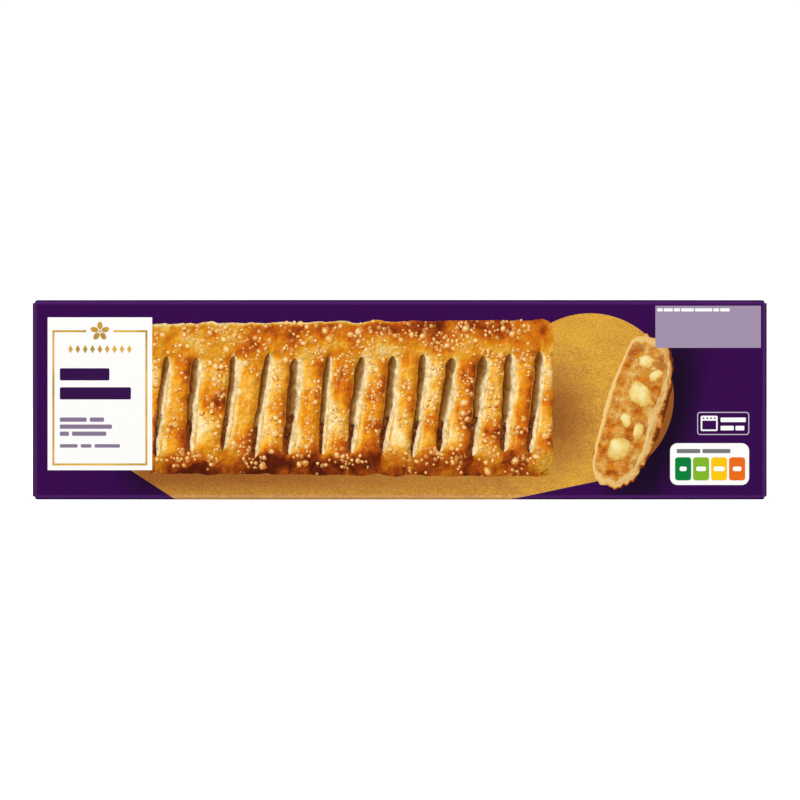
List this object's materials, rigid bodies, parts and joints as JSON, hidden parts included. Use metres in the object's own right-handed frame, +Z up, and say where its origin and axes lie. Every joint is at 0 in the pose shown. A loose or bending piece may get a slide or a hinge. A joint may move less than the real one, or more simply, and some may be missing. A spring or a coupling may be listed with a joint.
{
  "type": "apple strudel carton",
  "caption": "Long slim folding carton for a frozen apple strudel, shut, printed purple with a white label, gold bands and a pastry picture.",
  "frame": {"origin": "middle of the carton's footprint, on the plane it stands on", "axes": "+X along the carton's length, +Y through its depth from the front panel to the back panel, +Z up its height"},
  "size_m": [0.355, 0.0512, 0.0967],
  "materials": {
    "purple_print": "satin",
    "white_print": "satin",
    "gold_print": "satin",
    "pastry_print": "satin",
    "bare_board": "matte"
  },
  "bodies": {
    "root": {"carton": "purple_print"}
  },
  "joints": []
}
